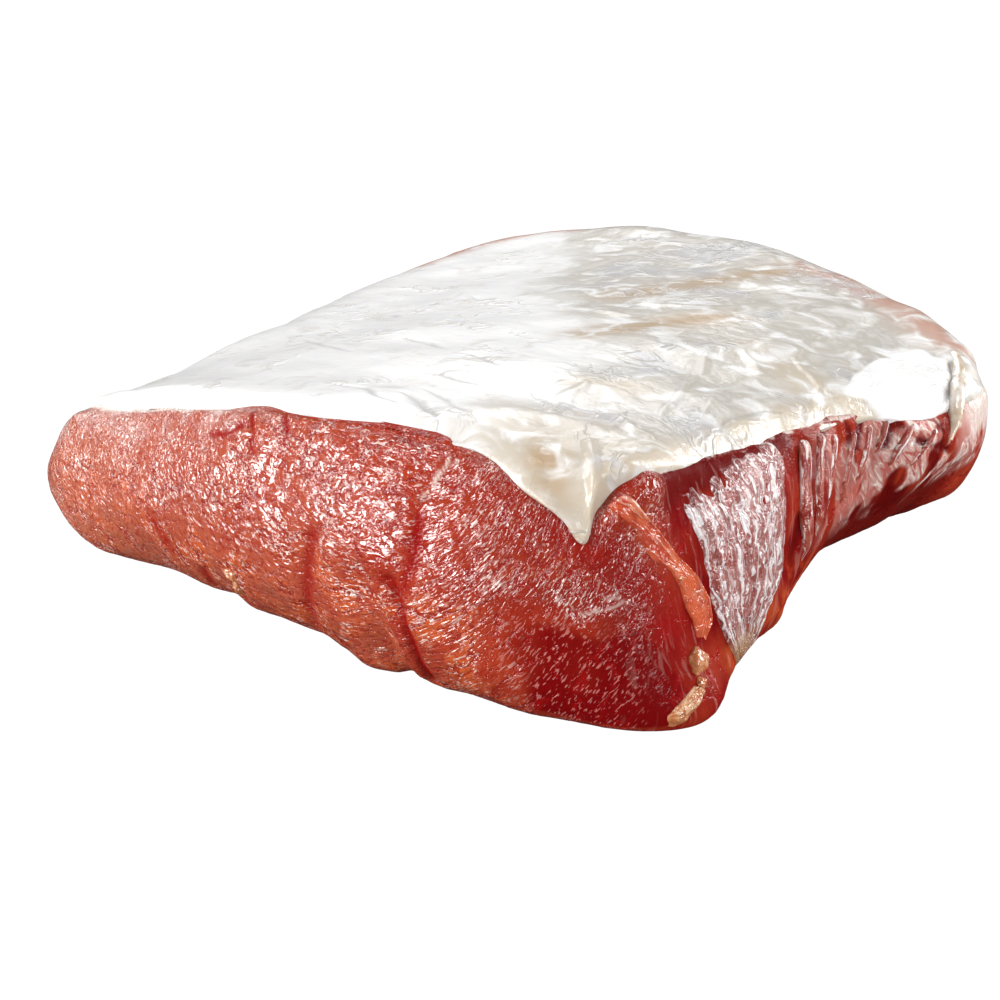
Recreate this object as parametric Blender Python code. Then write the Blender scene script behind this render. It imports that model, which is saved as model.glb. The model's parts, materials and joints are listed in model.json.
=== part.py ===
"""Raw beef sirloin joint: a slab of lean cut square across the loin, under its fat cap.

Millimetres in the design, metres in the mesh. +X runs along the near cut face towards the heel, +Y runs back
along the loin and +Z is up. The design is drawn from the heel, the near right corner of the foot, and the
finished pieces are then moved so that the origin lies under the middle of the joint's box.
"""

import math

import bmesh
import bpy
import numpy as np

MM = 0.001

# ---- driving dimensions, mm
CROWN_HEIGHT = 77.0        # thickest place of the loin eye
CROWN_X = -60.0            # where that ridge runs
TAIL_DROP = 27.5           # how much thinner the tail side is
TAIL_SPAN = 165.0          # from the ridge to the tail edge
TAIL_POWER = 1.8
CHINE_DROP = 14.0          # how much the top falls towards the chine side
CHINE_SPAN = 90.0
REAR_TAPER = 0.24          # share of the height lost at the far end
REAR_SPAN = 285.0
FOOT_RADIUS = 7.0          # rounding where the sides meet the board
RIM_RADIUS = 1.2           # rounding of the lean's upper edge
CAP_RADIUS = 0.9           # rounding of the fat cap's upper edge
LAYER_GAP = 0.3            # between lean and fat cap
CAP_THICKNESS = 1.9        # fat and silverskin over most of the top

# Stations round the joint, counter-clockwise from the front left corner. Each is the rim of the top (x, y), then
# how far the belly at half height and the foot stand away from that rim.
STATIONS = (
    ((-214, 5), (-17, -11), (6, -7)),      # front left corner, tail end of the cut
    ((-169, -8), (-3, -12), (1, -1)),
    ((-119, -11), (1, -17), (-6, -2)),
    ((-71, -11), (7, -21), (-4, -8)),
    ((-34, -8), (6, -14), (13, -9)),
    ((-15, 1), (7, -7), (25, 0)),          # front right corner, over the heel
    ((-10, 34), (9, -9), (15, 3)),
    ((-4, 69), (10, -7), (4, 1)),
    ((5, 104), (2, -3), (-13, 2)),
    ((20, 138), (-1, -3), (-22, 6)),
    ((18, 187), (3, 1), (-5, 3)),          # back right corner
    ((-38, 239), (2, 5), (-2, 0)),
    ((-117, 284), (1, 8), (-1, -3)),
    ((-193, 288), (-4, 8), (3, -4)),
    ((-236, 254), (-8, 7), (5, -6)),       # back left corner
    ((-246, 170), (-12, 2), (10, -3)),
    ((-229, 87), (-14, 1), (12, -3)),
)
SIDE_ENDS = {"front": (0, 5), "right": (5, 10), "back": (14, 10), "left": (17, 14)}

# The top rounds down into each side over a shoulder: (width, drop).
SHOULDERS = {"front": (8.0, 1.0), "right": (8.0, 1.5), "back": (20.0, 8.0), "left": (22.0, 9.0)}

# Thicker places of the fat cap: centre, half sizes, extra thickness.
FAT_PADS = (
    ((-22, -7), (8, 12), 11.0),            # tongue hanging over the cut by the heel
    ((-38, -4), (15, 16), 5.0),
    ((-205, 0), (45, 14), 3.0),            # tail end of the cut
    ((-8, 60), (14, 60), 1.2),             # chine edge
    ((12, 148), (20, 30), 3.0),            # far lump
)

# Grooves (depth below zero) and ridges on the sides: side, path of (along, height), half width, depth.
# Along is x on the front and back, and y on the right and left.
SIDE_STROKES = (
    ("front", ((-82, 34), (-77, 22), (-74, 0)), 5.5, -5.0),     # fold between two muscles
    ("front", ((-64, 28), (-65, 0)), 6.5, 3.4),                 # lip beside the fold
    ("front", ((-100, 38), (-103, 25), (-106, 4)), 5.5, -2.4),
    ("front", ((-144, 12), (-144, 0)), 5.5, -2.4),
    ("front", ((-135, 10), (-134, 0)), 5.5, 1.8),
    ("front", ((-62, 70), (-65, 50)), 5.5, -1.2),
    ("front", ((-172, 34), (-160, 20)), 22.0, 1.2),
    ("front", ((-44, 30), (-34, 14)), 16.0, 1.4),
    ("right", ((38, 54), (38, 24)), 15.0, 1.6),                 # silverskin bundle
    ("right", ((73, 62), (72, 44), (62, 24)), 5.5, -3.5),       # cleft behind it
    ("right", ((60, 8), (62, 0)), 6.0, 2.6),
    ("right", ((84, 58), (78, 34)), 5.5, 2.2),
    ("right", ((94, 56), (90, 34)), 5.5, -3.4),
    ("right", ((102, 50), (100, 30)), 5.5, 1.8),
    ("right", ((112, 54), (108, 34)), 5.5, -3.0),
    ("right", ((132, 44), (160, 30)), 7.0, 2.0),
    ("right", ((140, 24), (170, 14)), 7.0, -2.0),
    ("back", ((-150, 40), (-140, 10)), 8.0, -3.0),
    ("back", ((-70, 40), (-80, 8)), 7.0, -2.5),
    ("left", ((70, 34), (76, 4)), 10.0, -2.0),
    ("left", ((170, 34), (160, 4)), 10.0, -2.0),
)

# Ridges and hollows of the fat cap's upper face: path of (x, y), half width, rise.
CAP_STROKES = (
    (((-60, 8), (-44, 16), (-28, 14)), 7.0, 1.4),
    (((-46, 2), (-34, -2)), 6.0, -1.6),
    (((14, 170), (20, 156), (22, 142)), 6.0, 2.4),     # rolled fold at the far corner
    (((8, 164), (15, 142)), 5.5, -2.2),
    (((-150, 90), (-90, 60)), 26.0, 1.4),
    (((-60, 110), (-40, 180)), 30.0, 1.2),
    (((-180, 190), (-110, 220)), 24.0, -1.2),
    (((-200, 40), (-170, 110)), 16.0, -0.8),
    (((-42, 86), (-4, 96)), 10.0, -1.0),
)

LONG_CELLS, DEEP_CELLS, HIGH_CELLS = 38, 34, 12
FILLET_ROWS = 2            # rows that round the foot, and as many for the rim
CHINE_BIAS = 0.35          # how much closer the cells lie on the chine side
REAR_BIAS = -0.35          # and on the near side
RELIEF_SEED = 7


# ---- curves and outlines
def through(points, t):
    """Closed smooth curve through points, at t counted in points."""
    points = np.asarray(points, float)
    n = len(points)
    t = np.asarray(t, float)
    i = np.floor(t).astype(int)
    f = (t - i)[:, None]
    a, b, c, d = (points[(i + s) % n] for s in (-1, 0, 1, 2))
    return 0.5 * (2 * b + (c - a) * f + (2 * a - 5 * b + 4 * c - d) * f**2 + (3 * b - a - 3 * c + d) * f**3)


def outline(t, share):
    """Plan point of the side at station t and at a share of the height: 0 foot, 0.5 belly, 1 rim."""
    rim, belly, foot = (through([s[n] for s in STATIONS], t) for n in range(3))
    share = np.asarray(share, float)[:, None]
    return rim + belly * 4 * share * (1 - share) + foot * (1 - share) * (1 - 2 * share)


def even_station(side, along):
    """Station count at an even share of a side's length."""
    start, end = SIDE_ENDS[side]
    t = np.linspace(start, end, 240)
    steps = np.linalg.norm(np.diff(outline(t, np.ones(len(t))), axis=0), axis=1)
    length = np.concatenate([[0], np.cumsum(steps)])
    return np.interp(along, length / length[-1], t)


def outward(t, share):
    """Unit plan normal of the side, pointing away from the joint."""
    step = 0.02
    run = outline(t + step, share) - outline(t - step, share)
    run /= np.linalg.norm(run, axis=1)[:, None]
    return np.stack([run[:, 1], -run[:, 0]], 1)


def side_point(side, along, share, inset):
    t = even_station(side, along)
    return outline(t, share) - outward(t, share) * np.asarray(inset, float)[:, None]


def spread(cells, bias):
    """Cell borders from 0 to 1, closer together towards 1 for a positive bias and towards 0 for a negative one."""
    q = np.linspace(0, 1, cells + 1)
    return q + bias * q * (1 - q)


def plan_patch(across, deep, share, inset):
    """Plan points of the patch that spans the four sides, for borders across (0 left) and deep (0 front)."""
    def edge(side, along):
        n = len(along)
        return side_point(side, along, np.full(n, share), np.full(n, inset))

    front, back = edge("front", across), edge("back", across)
    left, right = edge("left", deep), edge("right", deep)
    a, d = across[:, None, None], deep[None, :, None]
    ruled = (1 - d) * front[:, None] + d * back[:, None] + (1 - a) * left[None] + a * right[None]
    corners = (1 - d) * ((1 - a) * front[0] + a * front[-1]) + d * ((1 - a) * back[0] + a * back[-1])
    return ruled - corners


# ---- heights and relief
def crown(x, y):
    """Height of the joint's top before its shoulders."""
    tail = np.clip((CROWN_X - x) / TAIL_SPAN, 0, None) ** TAIL_POWER
    chine = np.clip((x - CROWN_X) / CHINE_SPAN, 0, None) ** 2
    taper = 1 - REAR_TAPER * np.sin(math.pi / 2 * np.clip(y / REAR_SPAN, 0, 1))
    return (CROWN_HEIGHT - TAIL_DROP * tail - CHINE_DROP * chine) * taper


def shoulder_drop(gap):
    """Drop at the distances gap from the four sides, blended where two shoulders meet at a corner."""
    drops = [drop * np.clip(1 - gap[side] / width, 0, 1) ** 2 for side, (width, drop) in SHOULDERS.items()]
    return sum(d**4 for d in drops) ** 0.25


def fat_thickness(x, y):
    thick = np.full(np.shape(x), CAP_THICKNESS)
    for (cx, cy), (rx, ry), extra in FAT_PADS:
        thick = thick + extra * np.exp(-(((x - cx) / rx) ** 2) - ((y - cy) / ry) ** 2)
    return thick


def stroke(points, path, half_width):
    """1 on the path, falling smoothly to 0 beyond twice the half width, for 2D points."""
    path = np.asarray(path, float)
    nearest = np.full(points.shape[:-1], np.inf)
    for a, b in zip(path[:-1], path[1:]):
        ab = b - a
        f = np.clip(((points - a) @ ab) / (ab @ ab), 0, 1)
        nearest = np.minimum(nearest, np.linalg.norm(points - a - f[..., None] * ab, axis=-1))
    return np.exp(-((nearest / half_width) ** 2))


def unevenness(points, size, seed):
    """Low smooth waves, about one high, made of a few crossing sines near the given wavelength."""
    draw = np.random.default_rng(seed)
    total = 0
    for _ in range(7):
        way = draw.normal(size=points.shape[-1])
        way *= 2 * math.pi / (size * draw.uniform(0.7, 1.5) * np.linalg.norm(way))
        total = total + np.sin(points @ way + draw.uniform(0, 2 * math.pi))
    return total / 3


def side_relief(side, at, height):
    """Strokes of one side, outward, for plan points at the given heights."""
    places = np.stack([at[:, 0] if side in ("front", "back") else at[:, 1], height], -1)
    total = np.zeros(len(at))
    for name, path, half_width, depth in SIDE_STROKES:
        if name == side:
            total = total + depth * stroke(places, path, half_width)
    return total


def cap_relief(x, y):
    places = np.stack([x, y], -1)
    total = 0.35 * unevenness(places, 40, RELIEF_SEED)
    for path, half_width, rise in CAP_STROKES:
        total = total + rise * stroke(places, path, half_width)
    return total


# ---- the box grid that each piece is shaped from
def box_grid(name, cells, facing_layer):
    """A cube primitive cut into cells, and the (i, j, k) cell corner of each of its vertices.

    The two pieces meet in one facing layer each; its quads are split the same way in both.
    """
    mesh = bmesh.new()
    bmesh.ops.create_cube(mesh, size=2)
    for axis, count in enumerate(cells):
        parallel = [e for e in mesh.edges if abs(e.verts[0].co[axis] - e.verts[1].co[axis]) > 1]
        bmesh.ops.subdivide_edges(mesh, edges=parallel, cuts=count - 1, use_grid_fill=True)
    level = 2 * facing_layer / cells[2] - 1
    for face in [f for f in mesh.faces if all(abs(v.co.z - level) < 1e-4 for v in f.verts)]:
        order = sorted(face.verts, key=lambda v: v.co.x + v.co.y)
        bmesh.utils.face_split(face, order[0], order[-1])
    data = bpy.data.meshes.new(name)
    mesh.to_mesh(data)
    mesh.free()
    at = np.zeros(len(data.vertices) * 3, np.float32)
    data.vertices.foreach_get("co", at)
    corner = np.rint((at.reshape(-1, 3) + 1) / 2 * np.array(cells)).astype(int)
    return data, corner


def place(data, points):
    data.vertices.foreach_set("co", (np.asarray(points) * MM).astype(np.float32).ravel())
    data.update()


class Form:
    """The joint's shape on the cell borders, sampled once for both pieces."""

    def __init__(self):
        self.across = spread(LONG_CELLS, CHINE_BIAS)
        self.deep = spread(DEEP_CELLS, REAR_BIAS)
        self.sole = plan_patch(self.across, self.deep, 0.0, FOOT_RADIUS)
        self.cap_rim = self.top_layer(CAP_RADIUS)
        self.lean_rim = self.top_layer(RIM_RADIUS)
        self.lean_rim[..., 2] = self.cap_rim[..., 2] - fat_thickness(self.lean_rim[..., 0], self.lean_rim[..., 1])

    def top_layer(self, inset):
        plan = plan_patch(self.across, self.deep, 1.0, inset)
        edges = {"front": plan[:, :1], "back": plan[:, -1:], "left": plan[:1], "right": plan[-1:]}
        gap = {side: np.linalg.norm(plan - edge, axis=-1) for side, edge in edges.items()}
        return np.concatenate([plan, (crown(plan[..., 0], plan[..., 1]) - shoulder_drop(gap))[..., None]], -1)

    def side_points(self, side, z, inset):
        """Points of one side at heights z, one for each cell border along it."""
        along = self.across if side in ("front", "back") else self.deep
        top = self.cap_rim[SIDE_CELLS[side]][:, 2]
        t = even_station(side, along)
        at, normal = outline(t, z / top), outward(t, z / top)
        relief = side_relief(side, at, z) * np.clip((top - z) / 6 + 0.15, 0, 1)
        corner_fade = np.clip(np.minimum(along, 1 - along) / 0.05, 0, 1)
        waves = 0.8 * unevenness(np.stack([*at.T, z], -1), 34, RELIEF_SEED)
        at = at + normal * (relief * corner_fade + waves - inset)[:, None]
        return np.concatenate([at, z[:, None]], -1)


SIDE_CELLS = {
    "front": (slice(None), 0), "back": (slice(None), -1),
    "left": (0, slice(None)), "right": (-1, slice(None)),
}


def lean_grid(form):
    """Points (i, j, k) of the lean; only those on its skin are used."""
    grid = np.zeros((LONG_CELLS + 1, DEEP_CELLS + 1, HIGH_CELLS + 1, 3))
    grid[:, :, 0, :2] = form.sole
    grid[:, :, HIGH_CELLS] = form.lean_rim
    for side, cells in SIDE_CELLS.items():
        high = form.lean_rim[cells][:, 2]
        for k in range(HIGH_CELLS):
            if k < FILLET_ROWS:
                turn = math.pi / 2 * k / FILLET_ROWS
                z = np.full(len(high), FOOT_RADIUS * (1 - math.cos(turn)))
                inset = FOOT_RADIUS * (1 - math.sin(turn))
            else:
                share = (k - FILLET_ROWS) / (HIGH_CELLS - 1 - FILLET_ROWS)
                z, inset = FOOT_RADIUS + share * (high - RIM_RADIUS - FOOT_RADIUS), 0.0
            if k > 0:
                grid[cells][:, k] = form.side_points(side, z, inset)
            else:
                grid[cells][:, k, :2] = form.side_points(side, z + 0.01, inset)[:, :2]
    return grid


def cap_grid(form, lean):
    """Points of the fat cap, whose underside follows the lean's top facet by facet."""
    grid = np.zeros((LONG_CELLS + 1, DEEP_CELLS + 1, 3, 3))
    grid[:, :, 0] = lean[:, :, HIGH_CELLS] + (0, 0, LAYER_GAP)
    grid[:, :, 2] = form.cap_rim
    rise = cap_relief(form.cap_rim[..., 0], form.cap_rim[..., 1])
    grid[:, :, 2, 2] += np.maximum(rise, CAP_RADIUS - CAP_THICKNESS)
    for side, cells in SIDE_CELLS.items():
        middle = (grid[cells][:, 0, 2] + grid[cells][:, 2, 2]) / 2
        grid[cells][:, 1] = form.side_points(side, middle, 0.0)
    return grid


def material(name, colour, roughness):
    made = bpy.data.materials.new(name)
    made.use_nodes = True
    shader = made.node_tree.nodes["Principled BSDF"]
    shader.inputs["Base Color"].default_value = (*colour, 1.0)
    shader.inputs["Roughness"].default_value = roughness
    shader.inputs["Metallic"].default_value = 0.0
    return made


def add_piece(collection, name, data, finish):
    data.materials.append(finish)
    data.shade_smooth()
    piece = bpy.data.objects.new(name, data)
    collection.objects.link(piece)
    return piece


def main():
    for old in list(bpy.data.objects):
        bpy.data.objects.remove(old)
    collection = bpy.data.collections.new("beef_sirloin")
    bpy.context.scene.collection.children.link(collection)

    form = Form()
    lean_at = lean_grid(form)
    cap_at = cap_grid(form, lean_at)
    lean_mesh, corner = box_grid("lean", (LONG_CELLS, DEEP_CELLS, HIGH_CELLS), HIGH_CELLS)
    lean = lean_at[tuple(corner.T)]
    cap_mesh, corner = box_grid("fat_cap", (LONG_CELLS, DEEP_CELLS, 2), 0)
    cap = cap_at[tuple(corner.T)]

    both = np.concatenate([lean, cap])
    low, high = both.min(0), both.max(0)
    origin = np.array([(low[0] + high[0]) / 2, (low[1] + high[1]) / 2, 0.0])
    place(lean_mesh, lean - origin)
    place(cap_mesh, cap - origin)
    add_piece(collection, "lean", lean_mesh, material("raw beef lean", (0.45, 0.06, 0.04), 0.35))
    add_piece(collection, "fat_cap", cap_mesh, material("beef fat", (0.85, 0.80, 0.72), 0.4))


main()
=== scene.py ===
import json
import math

import bmesh
import bpy
import numpy as np
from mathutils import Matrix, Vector
from mathutils.bvhtree import BVHTree
from mathutils.kdtree import KDTree

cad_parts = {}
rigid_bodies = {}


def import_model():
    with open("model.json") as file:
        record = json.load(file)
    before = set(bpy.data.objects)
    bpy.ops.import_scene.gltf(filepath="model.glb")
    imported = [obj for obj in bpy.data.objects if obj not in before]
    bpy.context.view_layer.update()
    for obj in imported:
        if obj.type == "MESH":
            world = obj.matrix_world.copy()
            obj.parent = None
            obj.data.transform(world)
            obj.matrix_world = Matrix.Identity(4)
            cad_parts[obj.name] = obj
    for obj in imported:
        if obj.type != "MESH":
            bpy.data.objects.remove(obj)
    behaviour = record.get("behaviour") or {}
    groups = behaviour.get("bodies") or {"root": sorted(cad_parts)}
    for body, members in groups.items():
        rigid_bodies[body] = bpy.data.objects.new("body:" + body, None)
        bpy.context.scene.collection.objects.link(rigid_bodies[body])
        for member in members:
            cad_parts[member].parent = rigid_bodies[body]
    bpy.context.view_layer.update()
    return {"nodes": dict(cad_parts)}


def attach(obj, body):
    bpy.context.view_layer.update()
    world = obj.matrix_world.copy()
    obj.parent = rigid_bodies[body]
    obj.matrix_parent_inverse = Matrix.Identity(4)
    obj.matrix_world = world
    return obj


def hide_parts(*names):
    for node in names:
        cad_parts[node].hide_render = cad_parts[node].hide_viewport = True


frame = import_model()
bpy.ops.object.select_all(action="DESELECT")

# Places below are millimetres from the heel, the near right corner of the foot: x along the cut face, y back
# and z up.
heelSpot = np.array([115.88, -132.28, 0.0])  # the heel in the part's frame, mm


def fromHeel(points):
    return (np.asarray(points, float) + heelSpot) / 1000


def toHeel(points):
    return np.asarray(points, float) * 1000 - heelSpot


def readPoints(piece, field="co"):
    source = piece.data.vertices if field == "co" else piece.data.vertex_normals
    values = np.zeros(len(source) * 3, np.float32)
    source.foreach_get("co" if field == "co" else "vector", values)
    return values.reshape(-1, 3).astype(float)


def writePoints(piece, points):
    piece.data.vertices.foreach_set("co", np.asarray(points, np.float32).ravel())
    piece.data.update()


def storeMask(piece, name, values):
    layer = piece.data.attributes.new(name, "FLOAT", "POINT")
    layer.data.foreach_set("value", np.clip(values, 0, 1).astype(np.float32))


def storeVector(piece, name, values):
    layer = piece.data.attributes.new(name, "FLOAT_VECTOR", "POINT")
    layer.data.foreach_set("vector", np.asarray(values, np.float32).ravel())


def fade(value, low, high):  # 0 at low, 1 at high, smooth between; low may be the larger
    t = np.clip((np.asarray(value, float) - low) / (high - low), 0, 1)
    return t * t * (3 - 2 * t)


def hashed(cell, seed):
    h = (cell[..., 0] * 73856093) ^ (cell[..., 1] * 19349663) ^ (cell[..., 2] * 83492791) ^ (seed * 40503 + 977)
    h = ((h ^ (h >> 13)) * 1274126177) & 0xFFFFFFFF
    h = ((h ^ (h >> 15)) * 2246822519) & 0xFFFFFFFF
    return (h >> 8) & 0xFFFF


def noise(points, size, seed):  # smooth, -1 to 1, with bumps about size across
    q = np.asarray(points, float) / np.asarray(size, float)
    cell = np.floor(q).astype(np.int64)
    f = q - cell
    f = f * f * f * (f * (f * 6 - 15) + 10)
    total = np.zeros(len(q))
    for corner in np.ndindex(2, 2, 2):
        weight = np.prod(np.where(np.array(corner) == 1, f, 1 - f), axis=1)
        total += weight * (hashed(cell + np.array(corner), seed) / 32767.5 - 1)
    return total


def layered(points, size, seed, layers=3):
    sizes = np.asarray(size, float)
    return sum(noise(points, sizes / 2**n, seed + n) / 2**n for n in range(layers)) / 1.6


def cobbles(points, size, seed):  # distance to the nearest of scattered bundle centres, about 0 to 1
    q = np.asarray(points, float) / np.asarray(size, float)
    cell = np.floor(q).astype(np.int64)
    nearest = np.full(len(q), 9.0)
    for corner in np.ndindex(3, 3, 3):
        c = cell + np.array(corner) - 1
        centre = c + np.stack([hashed(c, seed + n) / 65535 for n in range(3)], 1)
        nearest = np.minimum(nearest, np.linalg.norm(q - centre, axis=1))
    return nearest


def pathDistance(points, path):
    path = np.asarray(path, float)
    best, along = np.full(len(points), 1e9), np.zeros(len(points))
    for n, (a, b) in enumerate(zip(path[:-1], path[1:])):
        ab = b - a
        f = np.clip(((points - a) @ ab) / (ab @ ab), 0, 1)
        d = np.linalg.norm(points - a - f[:, None] * ab, axis=1)
        along = np.where(d < best, (n + f) / (len(path) - 1), along)
        best = np.minimum(best, d)
    return best, along


def stroke(points, path, width):  # 1 along the path, falling off smoothly over the half width
    return np.exp(-((pathDistance(points, path)[0] / width) ** 2))


def editPiece(piece):
    bpy.ops.object.select_all(action="DESELECT")
    bpy.context.view_layer.objects.active = piece
    piece.select_set(True)
    bpy.ops.object.mode_set(mode="EDIT")
    bpy.ops.mesh.select_mode(type="FACE")
    bpy.ops.mesh.select_all(action="DESELECT")


def selectFaces(piece, rule):  # rule takes a face's middle in heel millimetres and its normal
    mesh = bmesh.from_edit_mesh(piece.data)
    for face in mesh.faces:
        face.select_set(bool(rule(toHeel(face.calc_center_median()), face.normal)))
    mesh.select_flush_mode()
    bmesh.update_edit_mesh(piece.data)


def leaveEdit():
    bpy.ops.object.mode_set(mode="OBJECT")


def applyModifier(piece, kind, **settings):
    bpy.context.view_layer.objects.active = piece
    added = piece.modifiers.new(kind, kind)
    for name, value in settings.items():
        setattr(added, name, value)
    bpy.ops.object.modifier_apply(modifier=added.name)


def copyOfNode(nodeName, pieceName):
    source = frame["nodes"][nodeName]
    piece = bpy.data.objects.new(pieceName, source.data.copy())
    bpy.context.scene.collection.objects.link(piece)
    piece.data.materials.clear()
    editPiece(piece)
    bpy.ops.mesh.select_all(action="SELECT")
    bpy.ops.mesh.customdata_custom_splitnormals_clear()
    bpy.ops.mesh.remove_doubles(threshold=1e-6)
    bpy.ops.mesh.tris_convert_to_quads(face_threshold=math.pi, shape_threshold=math.pi)
    leaveEdit()
    return piece


def surfaceOf(piece):
    return BVHTree.FromPolygons([v.co for v in piece.data.vertices], [p.vertices for p in piece.data.polygons])


def distanceTo(tree, points):
    return np.array([(tree.find_nearest(Vector(p))[3] or 0) * 1000 for p in points])


def alongPath(path, share):  # points at shares 0 to 1 of a path's length
    path = np.asarray(path, float)
    walked = np.concatenate([[0], np.cumsum(np.linalg.norm(np.diff(path, axis=0), axis=1))])
    return np.stack([np.interp(np.asarray(share) * walked[-1], walked, path[:, k]) for k in range(3)], -1)


def layTissue(name, edges, values, rise, surface):
    # A film or strap laid on the meat between two edges, both from its top down. rise(across, down, places)
    # gives how far it stands proud, in mm; where that is below 0 it sinks in and shows no edge.
    left, right = np.asarray(edges[0], float), np.asarray(edges[1], float)
    long = max(np.linalg.norm(np.diff(edge, axis=0), axis=1).sum() for edge in (left, right))
    shares = np.linspace(0, 1, 9)
    wide = np.linalg.norm(alongPath(left, shares) - alongPath(right, shares), axis=1).max()
    columns, rows = [max(4, round(size / values["cell"])) for size in (wide, long)]
    bpy.ops.object.select_all(action="DESELECT")
    bpy.ops.mesh.primitive_grid_add(x_subdivisions=columns, y_subdivisions=rows, size=2)
    piece = bpy.context.object
    piece.name = name
    flat = readPoints(piece)
    across, down = (flat[:, 0] + 1) / 2, (1 - flat[:, 1]) / 2
    planned = alongPath(left, down) * (1 - across)[:, None] + alongPath(right, down) * across[:, None]
    laid, facing = np.zeros_like(planned), np.zeros_like(planned)
    for n, spot in enumerate(fromHeel(planned)):
        laid[n], facing[n] = surface.find_nearest(Vector(spot))[:2]
    writePoints(piece, laid + facing * rise(across, down, planned)[:, None] / 1000)
    storeVector(piece, "flow", np.stack([across * wide, down * long, 0 * down], 1))
    storeMask(piece, "across", across)
    storeMask(piece, "down", down)
    outward = [polygon.normal.dot(Vector(facing[polygon.vertices[0]])) for polygon in piece.data.polygons]
    if np.mean(outward) < 0:
        editPiece(piece)
        bpy.ops.mesh.select_all(action="SELECT")
        bpy.ops.mesh.flip_normals()
        leaveEdit()
    applyModifier(piece, "SOLIDIFY", thickness=values["thickness"] / 1000, offset=-1.0)
    return piece


def rounded(across, top, sunk=0.6):  # a strap's section: a low arch whose edges sink in
    return (top + sunk) * np.sqrt(np.clip(1 - (2 * across - 1) ** 2, 0, 1)) - sunk


def sinking(share, rows):  # mm that an edge or end goes into the meat: where it starts, where it is full, depth
    return sum(depth * fade(share, start, full) for start, full, depth in rows)


def widened(path, width, sideways):  # the two edges of a strap that runs along a path
    path, sideways = np.asarray(path, float), np.asarray(sideways, float) / np.linalg.norm(sideways)
    width = np.broadcast_to(width, len(path))[:, None]
    return path - sideways * width / 2, path + sideways * width / 2


def joinPieces(name, pieces):
    bpy.ops.object.select_all(action="DESELECT")
    for piece in pieces:
        piece.select_set(True)
    bpy.context.view_layer.objects.active = pieces[0]
    bpy.ops.object.join()
    pieces[0].name = name
    return pieces[0]


def addLump(name, spot, size, seed, surface):
    bpy.ops.object.select_all(action="DESELECT")
    bpy.ops.mesh.primitive_ico_sphere_add(subdivisions=4, radius=1)
    piece = bpy.context.object
    piece.name = name
    ball = readPoints(piece)
    ball *= (1 + 0.28 * noise(ball, 0.9, seed) + 0.14 * noise(ball, 0.4, seed + 1))[:, None]
    hit, normal, _, _ = surface.find_nearest(Vector(fromHeel(spot)))
    turn = normal.to_track_quat("Z", "Y").to_matrix()
    writePoints(piece, (ball * np.asarray(size) / 2000) @ np.array(turn).T + np.array(hit))
    return piece


def finishPiece(piece, finish, nodeName=None):
    piece.data.materials.append(finish)
    bpy.ops.object.select_all(action="DESELECT")
    piece.select_set(True)
    bpy.context.view_layer.objects.active = piece
    bpy.ops.object.shade_smooth()
    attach(piece, "root")
    if nodeName:
        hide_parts(nodeName)


def hexColour(code):  # sRGB hex to linear
    parts = [int(code[n:n + 2], 16) / 255 for n in (1, 3, 5)]
    return (*[p / 12.92 if p <= 0.04045 else ((p + 0.055) / 1.055) ** 2.4 for p in parts], 1.0)


def addNode(tree, kind, inputs=None, out=0, **settings):  # gives the output that the next node takes
    made = tree.nodes.new(kind)
    for name, value in settings.items():
        setattr(made, name, value)
    for name, value in (inputs or {}).items():
        if isinstance(value, bpy.types.NodeSocket):
            tree.links.new(value, made.inputs[name])
        else:
            made.inputs[name].default_value = value
    return None if out is None else made.outputs[out]


def newMaterial(name, maskNames=()):
    # A material with its tree, the place on the piece in millimetres and the piece's masks.
    made = bpy.data.materials.new(name)
    made.use_nodes = True
    tree = made.node_tree
    tree.nodes.clear()
    mm = addNode(tree, "ShaderNodeMapping", {
        "Vector": addNode(tree, "ShaderNodeTexCoord", out="Object"), "Scale": (1000, 1000, 1000)})
    masks = {mask: addNode(tree, "ShaderNodeAttribute", out="Fac", attribute_name=mask) for mask in maskNames}
    return made, tree, mm, masks


def mixLayers(tree, layer, ranges, products):
    # Adds named layers to a material's masks and patterns: first the range in which one shows, with its start,
    # where it is full and how strong it gets, then what two of them give together.
    for name, source, start, full, most in ranges:
        layer[name] = addNode(tree, "ShaderNodeMapRange", {
            0: layer[source], 1: start, 2: full, 4: most}, interpolation_type="SMOOTHSTEP")
    for name, first, second in products:
        layer[name] = addNode(tree, "ShaderNodeMath", {0: layer[first], 1: layer[second]}, operation="MULTIPLY")


def paintOver(tree, layer, look, ground, coats):  # each coat: the layer it follows, how strong it is, its colour
    colour = hexColour(look[ground])
    for name, strength, tint in coats:
        share = layer[name]
        if strength < 1:
            share = addNode(tree, "ShaderNodeMath", {0: share, 1: strength}, operation="MULTIPLY")
        colour = addNode(tree, "ShaderNodeMix", {
            0: share, 6: colour, 7: hexColour(look[tint])}, out=2, data_type="RGBA")
    return colour


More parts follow.
